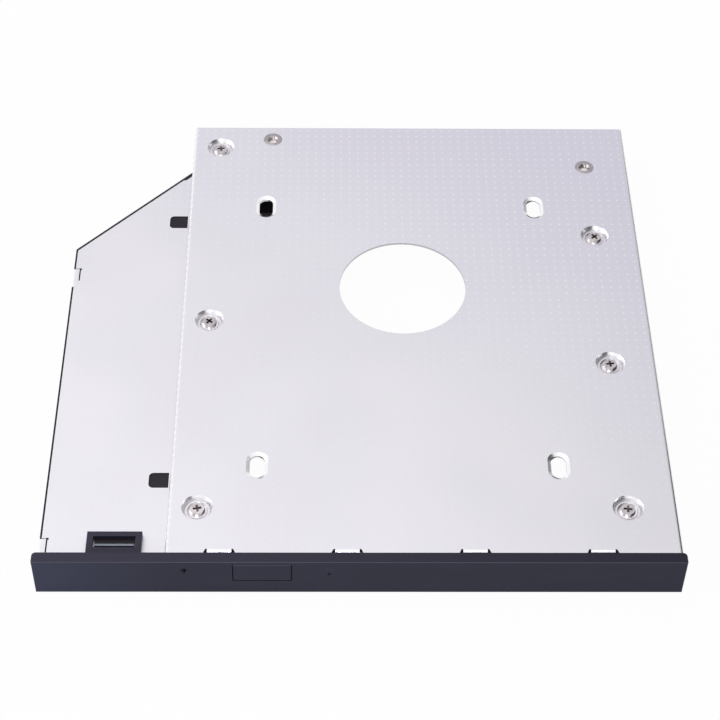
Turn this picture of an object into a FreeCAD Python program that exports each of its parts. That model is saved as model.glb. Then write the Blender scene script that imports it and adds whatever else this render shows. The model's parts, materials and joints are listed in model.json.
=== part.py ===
import FreeCAD, Part
import os

# A slim caddy that carries a 2.5 inch drive in a laptop's optical drive bay.
# It lies on its open side, with its metal underside up. Millimetres, +Z up, bezel towards -Y.
# Heights count from the case's base. The bezel hangs a little lower, so everything is lifted at the end
# and the origin is the middle of the base of the whole box.

V = FreeCAD.Vector

# How far a point may lie from an edge's stated place
touch = 1e-4

# Case
case_width = 128.0
case_depth = 126.0
case_height = 9.5
deck_width = 102.5
wing_drop = 4.0
chamfer_side = 37.6
chamfer_step = 11.2
rim_width = 0.4
chamfer_rim = 0.55

# Stamped sheet
sheet = 0.5
bend_radius = 0.8
tab_count = 4
tab_from_right = 16.0
tab_from_step = 10.75
tab_width = 4.8
tab_drop = 2.5
notch_width = 0.75
centre_hole_diameter = 28.0
centre_hole_depth_share = 0.4222
slot_width = 3.1
slot_length = 5.7
slot_flare = 0.72
slot_depth = 0.45
screw_dimple_radius = 3.15
screw_floor_radius = 2.5
screw_dimple_depth = 1.1
dimple_wall = 0.38
wing_window_length = 4.1
wing_window_width = 3.9
wing_window_depth_shares = (0.2264, 0.8314)
side_tab_length = 5.5
side_tab_drop = 2.0
side_tab_from_chamfer = 6.3
side_tab_from_front = 0.8
slit_width = 0.3
slit_length = 3.6
slit_inset = 1.6
slit_end = 0.5
hook_gap = 0.15
corner_relief_length = 3.2
corner_relief_width = 0.4

# Drive bay, which leaves a standard drive of 69.85 by 100.45 with base holes 61.72 by 76.6 apart
drive_from_step = 13.575
drive_from_right = 19.075
drive_from_front = 12.15
drive_from_rear = 13.4
drive_height = 7.0
drive_hole_from_side = 4.065
drive_hole_from_rear = 14.0
drive_hole_from_front = 9.85
drive_plug_height = 3.5
drive_plug_from_side = 3.925
drive_gap = 0.35

# Screws, nuts and their holes
screw_head_radius = 2.1
screw_head_height = 0.8
screw_thread_radius = 0.95
screw_length = 4.5
screw_recess_span = 2.3
screw_recess_slot = 0.45
screw_recess_depth = 0.38
left_screws = (("rear", 6.4, 0.056), ("middle", 6.1, 0.5024), ("front", 5.9, 0.9111))
right_screws = (("rear", 9.8, 0.2905), ("middle", 9.9, 0.6), ("front", 10.0, 0.9115))
nut_ring_radius = 2.175
nut_body_radius = 2.6
nut_body_height = 1.0
nut_bore_radius = 1.05
nut_bore_depth = 0.7
left_nut_from_step = 18.7
left_nut_from_rear = 4.2
right_nut_from_right = 10.2
right_nut_from_rear = 13.6

# Moulded frame
wall = 1.2
skin = 1.0
rib = 0.8
rib_rise = 0.5
rail_rib_pitch = 12.2
wing_rib_pitch = 11.6
boss_radius = 2.4
boss_low = 2.6
fit_gap = 0.1
lip_length = 8.3
lip_reach = 8.0
lip_gap = 0.15
lug_rise = 0.35

# Bezel
bezel_depth = 2.4
bezel_overhang = 0.5
bezel_drop = 0.5
bezel_wall = 1.0
bezel_skirt = 0.7
bezel_end_wall = 1.0
bezel_corner = 0.8
bezel_edge = 0.12
bezel_rib_pitch = 12.9
loop_place_share = 0.59
loop_width_share = 0.4314
loop_reach = 7.25
loop_thickness = 1.2
loop_window_share = 0.7727
loop_window_reach = 6.1
loop_window_near = 3.35
catch_rise = 0.9
catch_crest_share = 0.4
hook_width = 5.0
hook_thickness = 1.0
hook_reach = 5.6
hook_barb = 0.5
hook_low = 5.0
hooks_from_right = (14.0, 52.0)
emergency_hole_from_left = 29.35
emergency_hole_height = 6.65
emergency_hole_radius = 0.75
lamp_hole_from_left = 57.95
lamp_hole_height = 5.6
lamp_hole_radius = 0.4

# Button
button_from_left = 44.7
button_width = 11.8
button_height = 5.3
button_middle = 5.95
button_gap = 0.15
button_travel = 0.5
button_lip = 0.8
button_play = 0.05
button_arm_length = 9.6
button_arm_height = 1.2
eye_radius = 1.35
post_radius = 0.6
post_play = 0.1

# Board and connectors
board_thickness = 0.8
board_left_margin = 3.5
board_right_margin = 1.5
board_gap = 0.3
board_edge_gap = 1.2
board_screw_left_inset = (6.5, 2.7)
board_screw_right_inset = (4.2, 2.5)
board_screw_head_radius = 1.6
board_screw_head_height = 0.6
board_screw_radius = 0.75
board_screw_length = 1.2
contact_thickness = 0.25
slim_data_pitch = 1.27
slim_power_pitch = 1.0
contact_width = 0.5
foot_length = 1.1
data_contacts = 7
drive_power_contacts = 15
drive_contact_break = 5
slim_power_contacts = 6
receptacle_width = 41.0
receptacle_end = 4.625
receptacle_depth = 4.75
receptacle_height = 3.6
receptacle_slot = 1.9
receptacle_slot_depth = 4.0
receptacle_key_width = 1.0
plug_width = 25.4
plug_depth = 5.0
plug_height = 3.9
plug_from_right = 27.0
plug_wall = 0.6
plug_tongue = 1.2
plug_break = 3.0
lock_thickness = 0.3
lock_foot = 0.9
lock_width = 1.8
capacitor_size = (2.0, 1.25, 1.1)
capacitor_inset = 3.4
capacitor_shares = (0.18, 0.45, 0.72)
resistor_size = (1.6, 0.8, 0.45)
resistor_inset = 1.4
resistor_shares = (0.15, 0.38, 0.61, 0.84)

# Case, worked out
right = case_width / 2
left = -right
step_x = right - deck_width
rear = (case_depth + bezel_depth) / 2
front = -rear
case_front = rear - case_depth
deck_top = case_height
deck_low = deck_top - sheet
wing_top = deck_top - wing_drop
wing_low = wing_top - sheet
wing_edge = left + rim_width
inner_bend = bend_radius - sheet
notch_depth = bend_radius + fit_gap
wing_width = case_width - deck_width

# Drive bay, worked out
drive_width = deck_width - drive_from_step - drive_from_right
drive_length = case_depth - drive_from_front - drive_from_rear
drive_x = right - drive_from_right - drive_width / 2
drive_rear = rear - drive_from_rear
drive_top = deck_low - slot_depth
drive_low = drive_top - drive_height
bay_left = drive_x - drive_width / 2 - drive_gap
bay_right = drive_x + drive_width / 2 + drive_gap
bay_rear = drive_rear + drive_gap
bay_front = drive_rear - drive_length - drive_gap
slot_rear_y = drive_rear - drive_hole_from_rear
slot_front_y = drive_rear - drive_length + drive_hole_from_front
slot_reach_x = drive_width / 2 - drive_hole_from_side

# Frame, worked out
frame_left = step_x + sheet + fit_gap
frame_right = right - sheet - fit_gap
skin_top = deck_low - screw_dimple_depth
skin_low = skin_top - skin
wing_skin_low = wing_low - skin

# Places, worked out
screw_places = [(f"left_{name}", step_x + x, rear - share * case_depth) for name, x, share in left_screws]
screw_places += [(f"right_{name}", right - x, rear - share * case_depth) for name, x, share in right_screws]
nut_places = [
    ("left", step_x + left_nut_from_step, rear - left_nut_from_rear),
    ("right", right - right_nut_from_right, rear - right_nut_from_rear),
]
tab_pitch = (deck_width - tab_from_right - tab_from_step) / (tab_count - 1)
tab_places = [right - tab_from_right - i * tab_pitch for i in range(tab_count)]
wing_window_places = [rear - share * case_depth for share in wing_window_depth_shares]
loop_x = left + loop_place_share * wing_width
loop_width = loop_width_share * wing_width
loop_window_width = loop_window_share * loop_width
loop_end = case_front + loop_reach
hook_places = [right - x for x in hooks_from_right]
bezel_inside = front + bezel_wall
button_x = left + button_from_left

# Board and connectors, worked out
receptacle_x = drive_x + drive_width / 2 - drive_plug_from_side - receptacle_width / 2
receptacle_front = bay_rear
receptacle_rear = receptacle_front + receptacle_depth
receptacle_middle = drive_top - drive_plug_height
plug_x = right - plug_from_right
plug_front = rear - plug_depth
board_low = receptacle_middle + receptacle_height / 2
board_top = board_low + board_thickness
board_left = receptacle_x - receptacle_width / 2 - board_left_margin
board_right = plug_x + plug_width / 2 + board_right_margin
board_front = bay_rear + board_edge_gap
board_rear = rear - wall - board_gap
board_screw_places = [
    ("left", board_left + board_screw_left_inset[0], board_rear - board_screw_left_inset[1]),
    ("right", board_right - board_screw_right_inset[0], board_front + board_screw_right_inset[1]),
]
drive_contact_steps = data_contacts + drive_power_contacts + drive_contact_break - 2
drive_contact_pitch = (receptacle_width - 2 * receptacle_end) / drive_contact_steps


def box(x0, x1, y0, y1, z0, z1):
    """A box between two corners."""
    return Part.makeBox(x1 - x0, y1 - y0, z1 - z0, V(x0, y0, z0))


def solid_of(corners, path):
    """A flat outline drawn along a straight path."""
    return Part.Face(Part.makePolygon(corners + corners[:1])).extrude(path)


def prism(points, z0, z1):
    """An upright prism over (x, y) points."""
    return solid_of([V(x, y, z0) for x, y in points], V(0, 0, z1 - z0))


def along_y(points, y0, y1):
    """A profile of (x, z) points drawn from y0 to y1."""
    return solid_of([V(x, y0, z) for x, z in points], V(0, y1 - y0, 0))


def along_x(points, x0, x1):
    """A profile of (y, z) points drawn from x0 to x1."""
    return solid_of([V(x0, y, z) for y, z in points], V(x1 - x0, 0, 0))


def cylinder(x, y, z0, z1, radius):
    """An upright cylinder."""
    return Part.makeCylinder(radius, z1 - z0, V(x, y, z0))


def cone(x, y, z0, z1, radius_low, radius_high):
    """An upright cone frustum."""
    return Part.makeCone(radius_low, radius_high, z1 - z0, V(x, y, z0))


def straight_cone(x, y, z0, z1, radius_low, radius_high):
    """The cylinder that a cone becomes when both its radii are the same."""
    return cylinder(x, y, z0, z1, (radius_low + radius_high) / 2)


def rod(x, z, y0, y1, radius):
    """A cylinder that runs along Y."""
    return Part.makeCylinder(radius, y1 - y0, V(x, y0, z), V(0, 1, 0))


def slot_body(x, y, z0, margin_low, z1, margin_high):
    """A tapered slot-shaped solid along Y, each end the drive slot plus a margin all round."""
    low = slot_width / 2 + margin_low
    high = slot_width / 2 + margin_high
    reach = (slot_length - slot_width) / 2
    round_end = cone if high > low else straight_cone
    ends = [round_end(x, y + side, z0, z1, low, high) for side in (-reach, reach)]
    middle = along_y([(x - low, z0), (x + low, z0), (x + high, z1), (x - high, z1)], y - reach, y + reach)
    return middle.fuse(ends)


def edges_along(shape, axis, place):
    """Straight edges parallel to one axis that pass through a place, given by its other two coordinates."""
    found = []
    others = [i for i in range(3) if i != axis]
    for edge in shape.Edges:
        ends = [edge.Vertexes[0].Point, edge.Vertexes[-1].Point]
        off = max(abs(end[others[i]] - place[i]) for end in ends for i in range(2))
        if off < touch and abs(ends[0][axis] - ends[1][axis]) > touch:
            found.append(edge)
    return found


def wing_outline(side, chamfer, end_x):
    """The wing in plan, set in from its side and from its chamfer, out to end_x."""
    run_y = chamfer_side - chamfer_step
    length = (wing_width**2 + run_y**2) ** 0.5
    start_x = left + chamfer * run_y / length
    start_y = rear - chamfer_side - chamfer * wing_width / length
    slope = run_y / wing_width
    side_y = start_y + (left + side - start_x) * slope
    end_y = start_y + (end_x - start_x) * slope
    return [(left + side, case_front), (left + side, side_y), (end_x, end_y), (end_x, case_front)]


def corner_relief():
    """The short widening of the rim where the chamfer meets the step."""
    outer = wing_outline(0, 0, step_x)
    inner = wing_outline(rim_width, chamfer_rim + corner_relief_width, step_x)
    share = corner_relief_length / wing_width
    start = [a + (b - a) * share for a, b in zip(outer[2], outer[1])]
    half = [a + (b - a) * share / 2 for a, b in zip(inner[2], inner[1])]
    return prism([outer[2], start, half, inner[2]], wing_low, wing_top)


def side_tab_spans():
    """Near and far ends of the two tabs on the wing's side."""
    far = rear - chamfer_side - side_tab_from_chamfer
    near = case_front + side_tab_from_front
    return [(far - side_tab_length, far), (near, near + side_tab_length)]


def make_bottom_plate():
    """One stamped and folded aluminium sheet."""
    outline = [
        (wing_edge, wing_low),
        (wing_edge, wing_top),
        (step_x, wing_top),
        (step_x, deck_top),
        (right, deck_top),
        (right, wing_low),
        (right - sheet, wing_low),
        (right - sheet, deck_low),
        (step_x + sheet, deck_low),
        (step_x + sheet, wing_low),
    ]
    plate = along_y(outline, case_front, rear)
    outer_bends = ((step_x, deck_top), (right, deck_top), (step_x + sheet, wing_low))
    inner_bends = ((step_x, wing_top), (right - sheet, deck_low), (step_x + sheet, deck_low))
    for places, radius in ((outer_bends, bend_radius), (inner_bends, inner_bend)):
        for place in places:
            plate = plate.makeFillet(radius, edges_along(plate, 1, place))

    wing = wing_outline(rim_width, chamfer_rim, step_x)
    beyond = [wing[1], wing[2], (step_x, rear + 1), (left - 1, rear + 1), (left - 1, wing[1][1])]
    plate = plate.cut(prism(beyond, wing_low - 1, deck_top + 1))
    plate = plate.cut(corner_relief())

    for x in tab_places:
        plate = add_front_tab(plate, x)
    for y0, y1 in side_tab_spans():
        plate = add_side_tab(plate, y0, y1)
    for y in wing_window_places:
        plate = plate.cut(wing_window(y, 0, wing_low - 1, wing_top + 1))
    plate = plate.cut(catch_body(fit_gap, wing_low - 1, wing_top + 1))

    hole_y = rear - centre_hole_depth_share * case_depth
    plate = plate.cut(cylinder(drive_x, hole_y, deck_low - 1, deck_top + 1, centre_hole_diameter / 2))
    for x in (drive_x - slot_reach_x, drive_x + slot_reach_x):
        for y in (slot_front_y, slot_rear_y):
            plate = add_drive_slot(plate, x, y)
    for _, x, y in screw_places:
        plate = add_screw_dimple(plate, x, y)
    for _, x, y in nut_places:
        plate = plate.cut(cylinder(x, y, deck_low - 1, deck_top + 1, nut_ring_radius))
    return plate.removeSplitter()


def add_front_tab(plate, x):
    """Notch the deck's front edge and fold the tab between the notches down."""
    half = tab_width / 2
    reach = half + notch_width
    end = case_front + notch_depth
    room = [(x - reach, case_front), (x + reach, case_front), (x + reach - notch_width / 2, end),
            (x - reach + notch_width / 2, end)]
    plate = plate.cut(prism(room, deck_low - 1, deck_top + 1))
    profile = [
        (case_front, deck_top - tab_drop),
        (case_front, deck_top),
        (case_front + notch_depth, deck_top),
        (case_front + notch_depth, deck_low),
        (case_front + sheet, deck_low),
        (case_front + sheet, deck_top - tab_drop),
    ]
    tab = along_x(profile, x - half, x + half)
    tab = tab.makeFillet(bend_radius, edges_along(tab, 0, (case_front, deck_top)))
    tab = tab.makeFillet(inner_bend, edges_along(tab, 0, (case_front + sheet, deck_low)))
    return plate.fuse(tab)


def add_side_tab(plate, y0, y1):
    """A tab that folds over the wing's rim, freed from the sheet by an L-shaped slit."""
    root = left + slit_inset - slit_width
    profile = [
        (root, wing_low),
        (root, wing_top),
        (left, wing_top),
        (left, wing_top - side_tab_drop),
        (left + sheet, wing_top - side_tab_drop),
        (left + sheet, wing_low),
    ]
    tab = along_y(profile, y0, y1)
    tab = tab.makeFillet(sheet, edges_along(tab, 1, (left, wing_top)))
    plate = plate.fuse(tab)
    slit = box(root, root + slit_width, y1 - slit_length, y1, wing_low - 1, wing_top + 1)
    hook = box(left - 1, root, y1, y1 + hook_gap, wing_low - 1, wing_top + 1)
    end = box(root, root + slit_end, y1 - slit_end / 2, y1 + slit_end / 2, wing_low - 1, wing_top + 1)
    return plate.cut([slit, hook, end])


def add_drive_slot(plate, x, y):
    """A slot at the bottom of a tapered dimple, which the drive rests on."""
    outer = slot_body(x, y, drive_top, slot_flare / 2, deck_low + sheet / 2, slot_flare + dimple_wall)
    flare = slot_body(x, y, deck_top - slot_depth, 0, deck_top, slot_flare)
    hole = slot_body(x, y, drive_top - 1, 0, deck_top - slot_depth + sheet / 10, 0)
    return plate.fuse(outer).cut(flare).cut(hole)


def add_screw_dimple(plate, x, y):
    """A round dimple with a flat floor and a screw hole."""
    floor = deck_top - screw_dimple_depth
    outer = cone(x, y, skin_top, deck_low + sheet / 2, screw_floor_radius + dimple_wall,
                 screw_dimple_radius + dimple_wall)
    inner = cone(x, y, floor, deck_top, screw_floor_radius, screw_dimple_radius)
    hole = cylinder(x, y, skin_top - 1, deck_top, screw_thread_radius + 2 * fit_gap)
    return plate.fuse(outer).cut(inner).cut(hole)


def wing_window(y, margin, z0, z1):
    """The room of a wing window, drawn in by a margin on every side."""
    x1 = step_x - 2 * inner_bend - margin
    x0 = step_x - 2 * inner_bend - wing_window_length + margin
    half = wing_window_width / 2 - margin
    room = box(x0, x1, y - half, y + half, z0, z1)
    corners = edges_along(room, 2, (x0, y - half)) + edges_along(room, 2, (x0, y + half))
    return room.makeFillet(wing_window_width / 4, corners)


def catch_body(margin, z0, z1):
    """The upright room of the bezel's catch, grown by a margin."""
    half = loop_window_width / 2 - 3 * fit_gap + margin
    near = case_front + loop_window_near + 2 * fit_gap - margin
    far = case_front + loop_window_reach - 2 * fit_gap + margin
    return box(loop_x - half, loop_x + half, near, far, z0, z1)


def make_catch():
    """A ridge with a ramp towards the bezel, which the bezel's loop snaps over."""
    half = loop_window_width / 2 - 3 * fit_gap
    near = case_front + loop_window_near + 2 * fit_gap
    far = case_front + loop_window_reach - 2 * fit_gap
    crest = near + (far - near) * catch_crest_share
    profile = [
        (near, wing_low),
        (near, wing_low + sheet / 2),
        (crest, wing_top + catch_rise),
        (far, wing_top + catch_rise / 2),
        (far, wing_low),
    ]
    return along_x(profile, loop_x - half, loop_x + half)


def rail_ring(margin, z0, z1):
    """The frame's rails in plan, set in by a margin from the case's sides and from the bay."""
    outer = box(frame_left + margin, frame_right - margin, case_front + margin, rear - margin, z0, z1)
    bay = box(bay_left - margin, bay_right + margin, bay_front - margin, bay_rear + margin, z0, z1)
    return outer.cut(bay)


def spread(low, high, pitch):
    """Evenly spaced places between two ends, no further apart than the pitch."""
    count = int((high - low) / pitch) + 1
    return [low + (high - low) * i / count for i in range(1, count)]


def rail_ribs():
    """Ribs across the rails, and one along the wide right rail."""
    half = rib / 2
    z1 = skin_low
    ribs = []
    for y in spread(case_front, rear, rail_rib_pitch):
        if bay_front < y < bay_rear:
            ribs.append(box(frame_left, frame_right, y - half, y + half, rib_rise, z1))
    for x in spread(bay_left, bay_right, rail_rib_pitch):
        ribs.append(box(x - half, x + half, case_front, bay_front, rib_rise, z1))
        ribs.append(box(x - half, x + half, bay_rear, rear, rib_rise, z1))
    for x in (bay_left - wall, bay_right + wall):
        ribs.append(box(x - rib, x + rib, case_front, bay_front, rib_rise, z1))
        ribs.append(box(x - rib, x + rib, bay_rear, rear, rib_rise, z1))
    middle = (bay_right + frame_right) / 2
    ribs.append(box(middle - half, middle + half, case_front, rear, rib_rise, z1))
    for y in (bay_front - wall, bay_rear + wall):
        ribs.append(box(frame_left, frame_right, y - half, y + half, rib_rise, z1))
    return Part.makeCompound(ribs)


def wing_pockets():
    """The wing's moulded pockets, open to the floor, with ribs between them."""
    room = prism(wing_outline(wall, wall, step_x), -1, wing_skin_low)
    room = room.cut(box(left, right, case_front - 1, case_front + wall, -2, case_height))
    half = rib / 2
    middle = (left + wall + step_x) / 2
    ribs = [box(middle - half, middle + half, case_front, rear, rib_rise, wing_skin_low)]
    for y in spread(case_front, rear - chamfer_step, wing_rib_pitch):
        ribs.append(box(left, step_x, y - half, y + half, rib_rise, wing_skin_low))
    return room.cut(Part.makeCompound(ribs))


def board_room(margin, z0, z1):
    """The board in plan, grown by a margin."""
    return box(board_left - margin, board_right + margin, board_front - margin, board_rear + margin, z0, z1)


def make_tray_frame():
    """The moulded frame: wing, rails round the drive bay and the connector housing."""
    frame = box(step_x, right, case_front, rear, 0, wing_low)
    upper = box(frame_left, frame_right, case_front, rear, wing_low, deck_low)
    corners = edges_along(upper, 1, (frame_left, deck_low)) + edges_along(upper, 1, (frame_right, deck_low))
    upper = upper.makeChamfer(inner_bend, corners)
    wing = prism(wing_outline(0, 0, step_x + wall), 0, wing_low)
    rim = prism(wing_outline(0, 0, step_x), wing_low, wing_top)
    rim = rim.cut(prism(wing_outline(rim_width, chamfer_rim, step_x + 1), wing_low - 1, wing_top + 1))
    frame = frame.fuse([upper, wing, rim, corner_relief()])

    frame = frame.cut(box(bay_left, bay_right, bay_front, bay_rear, -1, deck_top))
    frame = frame.cut(rail_ring(wall, skin_top, deck_top))
    frame = frame.cut(rail_ring(wall, -1, skin_low).cut(rail_ribs()))
    frame = frame.cut(wing_pockets())

    for _, x, y in screw_places:
        frame = frame.fuse(cylinder(x, y, boss_low, skin_low + skin / 2, boss_radius))
    for x in hook_places:
        frame = frame.fuse(box(x - hook_width / 2 - wall, x + hook_width / 2 + wall, case_front + wall / 2,
                               case_front + hook_reach + wall, hook_low - wall, skin_low + skin / 2))

    frame = fit_board(frame)
    frame = fit_cover(frame)
    frame = fit_bezel(frame)
    lip_top = drive_low - lip_gap
    lip = box(bay_left - wall / 2, bay_left + lip_length, bay_rear - lip_reach, bay_rear + wall / 2,
              0, lip_top)
    return frame.fuse(lip).removeSplitter()


def fit_board(frame):
    """The room for the board and both connectors, with two shelves that the board is screwed to."""
    surround = board_room(board_gap + wall, rib_rise, skin_top)
    surround = surround.common(box(bay_left, frame_right, bay_rear, rear, 0, deck_top))
    frame = frame.fuse(surround)
    frame = frame.cut(board_room(board_gap, -1, deck_top))
    half = receptacle_width / 2 + 2 * fit_gap
    frame = frame.cut(box(receptacle_x - half, receptacle_x + half, bay_rear - 1, board_front,
                          -1, deck_top))
    half = plug_width / 2 + 2 * fit_gap
    frame = frame.cut(box(plug_x - half, plug_x + half, board_rear, rear + 1,
                          board_low - plug_height - 2 * fit_gap, board_top))
    for name, x, y in board_screw_places:
        shelf = board_room(board_gap + wall / 2, board_top, skin_top + rib_rise)
        reach = board_screw_head_radius + 1
        across = (board_left - wall, x + reach) if name == "left" else (x - reach, board_right + wall)
        deep = (y - reach, rear - wall / 2) if name == "left" else (bay_rear + wall / 2, y + reach)
        shelf = shelf.common(box(across[0], across[1], deep[0], deep[1], 0, case_height))
        boss = cylinder(x, y, board_top, deck_low, board_screw_head_radius)
        frame = frame.fuse([shelf, boss])
        frame = frame.cut(cylinder(x, y, board_low, board_top + board_screw_length + fit_gap,
                                   board_screw_radius + fit_gap / 2))
    return frame


def fit_cover(frame):
    """Screw holes, window lugs, and relief for the nuts and the cover's tabs."""
    for _, x, y in screw_places:
        low = deck_top - screw_dimple_depth - screw_length - sheet
        frame = frame.cut(cylinder(x, y, low, skin_top + 1, screw_thread_radius + fit_gap / 2))
    for _, x, y in nut_places:
        low = deck_low - nut_body_height - fit_gap
        frame = frame.cut(cylinder(x, y, low, deck_top, nut_body_radius + fit_gap))
    for y in wing_window_places:
        frame = frame.fuse(wing_window(y, 2 * fit_gap, wing_skin_low, wing_low + lug_rise))
    for x in tab_places:
        half = tab_width / 2 + 3 * fit_gap
        frame = frame.cut(box(x - half, x + half, case_front - 1, case_front + sheet + inner_bend,
                              deck_top - tab_drop - 3 * fit_gap, deck_top))
    for y0, y1 in side_tab_spans():
        gap = 3 * fit_gap
        frame = frame.cut(box(left - 1, left + sheet + fit_gap, y0 - fit_gap, y1 + gap,
                              wing_top - side_tab_drop - gap, wing_top + 1))
    return frame


def fit_bezel(frame):
    """The catch for the bezel's loop and the sockets for its hooks."""
    frame = frame.fuse(make_catch())
    for x in hook_places:
        half = hook_width / 2 + 2 * fit_gap
        mouth_top = hook_low + hook_thickness + 2 * fit_gap
        low = hook_low - 2 * fit_gap
        far = case_front + hook_reach + 4 * fit_gap
        frame = frame.cut(box(x - half, x + half, case_front - 1, far, low, mouth_top))
        frame = frame.cut(box(x - half, x + half, case_front + hook_reach / 2, far, low,
                              mouth_top + hook_barb + fit_gap))
    return frame


def make_front_bezel():
    """The moulded bezel: a thin wall with a skirt, ribs, a loop, two hooks and a post for the button."""
    x0 = left - bezel_overhang
    x1 = right + bezel_overhang
    base = -bezel_drop
    bezel = box(x0, x1, front, case_front, base, case_height)
    back = edges_along(bezel, 2, (x0, case_front)) + edges_along(bezel, 2, (x1, case_front))
    bezel = bezel.makeFillet(bezel_corner, back)
    face = [edge for edge in bezel.Edges if abs(edge.BoundBox.YMax - front) < touch]
    bezel = bezel.makeFillet(bezel_edge, face)
    inside = box(x0 + bezel_end_wall, x1 - bezel_end_wall, bezel_inside, case_front + 1, base + bezel_skirt,
                 case_height - bezel_skirt)
    bezel = bezel.cut(inside)
    for x in bezel_rib_places():
        bezel = bezel.fuse(box(x - rib / 2, x + rib / 2, bezel_inside - bezel_wall / 2, case_front,
                               base + bezel_skirt / 2, case_height - bezel_skirt / 2))
    bezel = bezel.fuse(make_loop())
    for x in hook_places:
        bezel = bezel.fuse(make_hook(x))
    post = rod(button_post_x(), button_arm_middle(), bezel_inside - bezel_wall / 2, case_front - fit_gap,
               post_radius)
    bezel = bezel.fuse(post)
    bezel = bezel.cut(rod(left + emergency_hole_from_left, emergency_hole_height, front - 1, case_front + 1,
                          emergency_hole_radius))
    bezel = bezel.cut(rod(left + lamp_hole_from_left, lamp_hole_height, front - 1, case_front + 1,
                          lamp_hole_radius))
    half = button_width / 2
    window = box(button_x - half, button_x + half, front - 1, bezel_inside + fit_gap,
                 button_middle - button_height / 2, button_middle + button_height / 2)
    return bezel.cut(window).removeSplitter()


def bezel_rib_places():
    """Rib places along the bezel, clear of the button with its arm, the two holes and the hooks."""
    clear = 1.5 * rib
    kept_free = [(button_x - button_width / 2 - button_lip - clear, button_post_x() + eye_radius + clear)]
    for from_left in (emergency_hole_from_left, lamp_hole_from_left):
        kept_free.append((left + from_left - 2 * clear, left + from_left + 2 * clear))
    for x in hook_places:
        kept_free.append((x - hook_width / 2 - clear, x + hook_width / 2 + clear))
    kept_free.append((loop_x - loop_width / 2 - clear, loop_x + loop_width / 2 + clear))
    places = spread(left, right, bezel_rib_pitch)
    return [x for x in places if not any(low < x < high for low, high in kept_free)]


def make_loop():
    """The flat loop that lies on the wing and snaps over the frame's catch."""
    half = loop_width / 2
    loop = box(loop_x - half, loop_x + half, bezel_inside - bezel_wall / 2, loop_end, wing_top,
               wing_top + loop_thickness)
    ends = edges_along(loop, 2, (loop_x - half, loop_end)) + edges_along(loop, 2, (loop_x + half, loop_end))
    loop = loop.makeFillet(bezel_edge, ends)
    half = loop_window_width / 2
    return loop.cut(box(loop_x - half, loop_x + half, case_front + loop_window_near,
                        case_front + loop_window_reach, wing_top - 1, deck_top))


def make_hook(x):
    """A snap hook with a barb on its upper side."""
    top = hook_low + hook_thickness
    tip = case_front + hook_reach
    profile = [
        (bezel_inside - bezel_wall / 2, hook_low),
        (tip, hook_low),
        (tip, top),
        (tip - hook_barb * 3, top + hook_barb),
        (tip - hook_barb * 4, top + hook_barb),
        (tip - hook_barb * 4, top),
        (bezel_inside - bezel_wall / 2, top),
    ]
    return along_x(profile, x - hook_width / 2, x + hook_width / 2)


def button_post_x():
    """Where the bezel's post stands beside the button."""
    return button_x + button_width / 2 + button_arm_length


def button_arm_middle():
    """Height of the button's arm, low in the bezel."""
    return button_middle - button_height / 2 - button_lip + button_arm_height


def make_eject_button():
    """A cap in the bezel's window, a lip behind the wall and a flat arm with an eye on the post."""
    lip_front = bezel_inside + button_play
    lip_back = case_front - button_travel - 2 * fit_gap
    half_width = button_width / 2 - button_gap
    half_height = button_height / 2 - button_gap
    cap = box(button_x - half_width, button_x + half_width, front + button_play, lip_back,
              button_middle - half_height, button_middle + half_height)
    face = [edge for edge in cap.Edges if abs(edge.BoundBox.YMax - front - button_play) < touch]
    cap = cap.makeFillet(button_gap, face)
    low = button_middle - button_height / 2 - button_lip
    side = button_width / 2 + button_lip
    lip = box(button_x - side, button_x + side, lip_front, lip_back, low, button_middle + half_height)
    middle = button_arm_middle()
    arm = box(button_x, button_post_x(), lip_front, lip_back, middle - button_arm_height / 2,
              middle + button_arm_height / 2)
    eye = rod(button_post_x(), middle, lip_front, lip_back, eye_radius)
    hole = rod(button_post_x(), middle, lip_front - 1, lip_back + 1, post_radius + post_play)
    return cap.fuse([lip, arm, eye]).cut(hole).removeSplitter()


def make_plate_screw(x, y):
    """A low-head screw with a cross recess."""
    seat = deck_top - screw_dimple_depth
    top = seat + screw_head_height
    head = cylinder(x, y, seat, top, screw_head_radius)
    shank = cylinder(x, y, seat - screw_length, seat + screw_head_height / 4, screw_thread_radius)
    recess = cross_recess(x, y, top - screw_recess_depth, top + 1)
    return head.fuse(shank).cut(recess).removeSplitter()


def cross_recess(x, y, z0, z1):
    """The room of a cross recess."""
    span = screw_recess_span / 2
    half = screw_recess_slot / 2
    return box(x - span, x + span, y - half, y + half, z0, z1).fuse(
        box(x - half, x + half, y - span, y + span, z0, z1))


def make_bracket_nut(x, y):
    """A blind threaded insert pressed flush into the sheet."""
    nut = cylinder(x, y, deck_low, deck_top, nut_ring_radius)
    nut = nut.fuse(cylinder(x, y, deck_low - nut_body_height, deck_low, nut_body_radius))
    return nut.cut(cylinder(x, y, deck_top - nut_bore_depth, deck_top + 1, nut_bore_radius)).removeSplitter()


def make_connector_board():
    """The circuit board with its two screw holes and clipped corners."""
    board = board_room(0, board_low, board_top)
    corners = []
    for x in (board_left, board_right):
        for y in (board_front, board_rear):
            corners += edges_along(board, 2, (x, y))
    board = board.makeChamfer(board_thickness / 2, corners)
    for _, x, y in board_screw_places:
        board = board.cut(cylinder(x, y, board_low - 1, board_top + 1, board_screw_radius + fit_gap))
    return board


def make_board_screw(x, y):
    """A short screw whose head bears on the board's lower face."""
    head_low = board_low - board_screw_head_height
    head = cylinder(x, y, head_low, board_low, board_screw_head_radius)
    shank = cylinder(x, y, board_low - board_screw_head_height / 4, board_top + board_screw_length,
                     board_screw_radius)
    recess = cross_recess(x, y, head_low - 1, head_low + screw_recess_depth)
    return head.fuse(shank).cut(recess).removeSplitter()


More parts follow.
